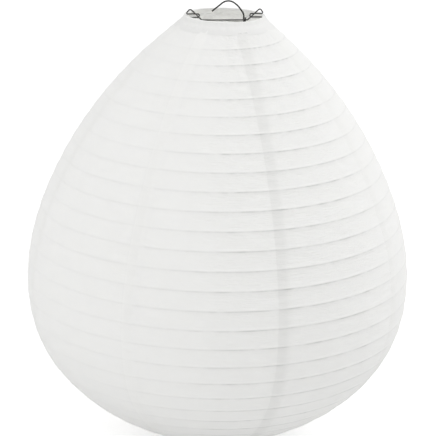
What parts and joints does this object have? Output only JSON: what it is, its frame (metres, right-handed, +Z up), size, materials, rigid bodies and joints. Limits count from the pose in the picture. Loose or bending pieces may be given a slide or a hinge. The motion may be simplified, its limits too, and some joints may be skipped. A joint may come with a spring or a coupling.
{
  "type": "paper lantern",
  "caption": "Drop-shaped white paper lantern shade on a spiral wire rib, held open by a bent wire frame with a swinging hanging hook.",
  "frame": {"origin": "on the lantern's upright axis, in the plane that the lower rim stands on", "axes": "+Z up along the shade's axis, +X along the cross bar towards the end with the hook's eye, +Y away from the side with the cross bar's offset"},
  "size_m": [0.35, 0.35, 0.4103],
  "materials": {
    "rice_paper": "matte, translucent, finely wrinkled",
    "hem_paper": "matte, folded double",
    "rib_wire": "thin drawn wire",
    "ring_wire": "thin drawn wire",
    "frame_wire": "dull drawn steel",
    "hook_wire": "dull drawn steel"
  },
  "bodies": {
    "lantern": {"paper_gore_1": "rice_paper", "paper_gore_2": "rice_paper", "paper_gore_3": "rice_paper", "paper_gore_4": "rice_paper", "paper_gore_5": "rice_paper", "paper_gore_6": "rice_paper", "paper_gore_7": "rice_paper", "paper_gore_8": "rice_paper", "top_rim_hem": "hem_paper", "bottom_rim_hem": "hem_paper", "spiral_rib": "rib_wire", "top_rim_ring": "ring_wire", "bottom_rim_ring": "ring_wire", "wire_frame": "frame_wire"},
    "hook": {"hanging_hook": "hook_wire"}
  },
  "joints": [
    {"name": "hook_swing", "type": "hinge", "parent": "lantern", "child": "hook", "pos_m": [0.018, -0.00075, 0.3927], "axis": [1, 0, 0], "continuous": true}
  ]
}
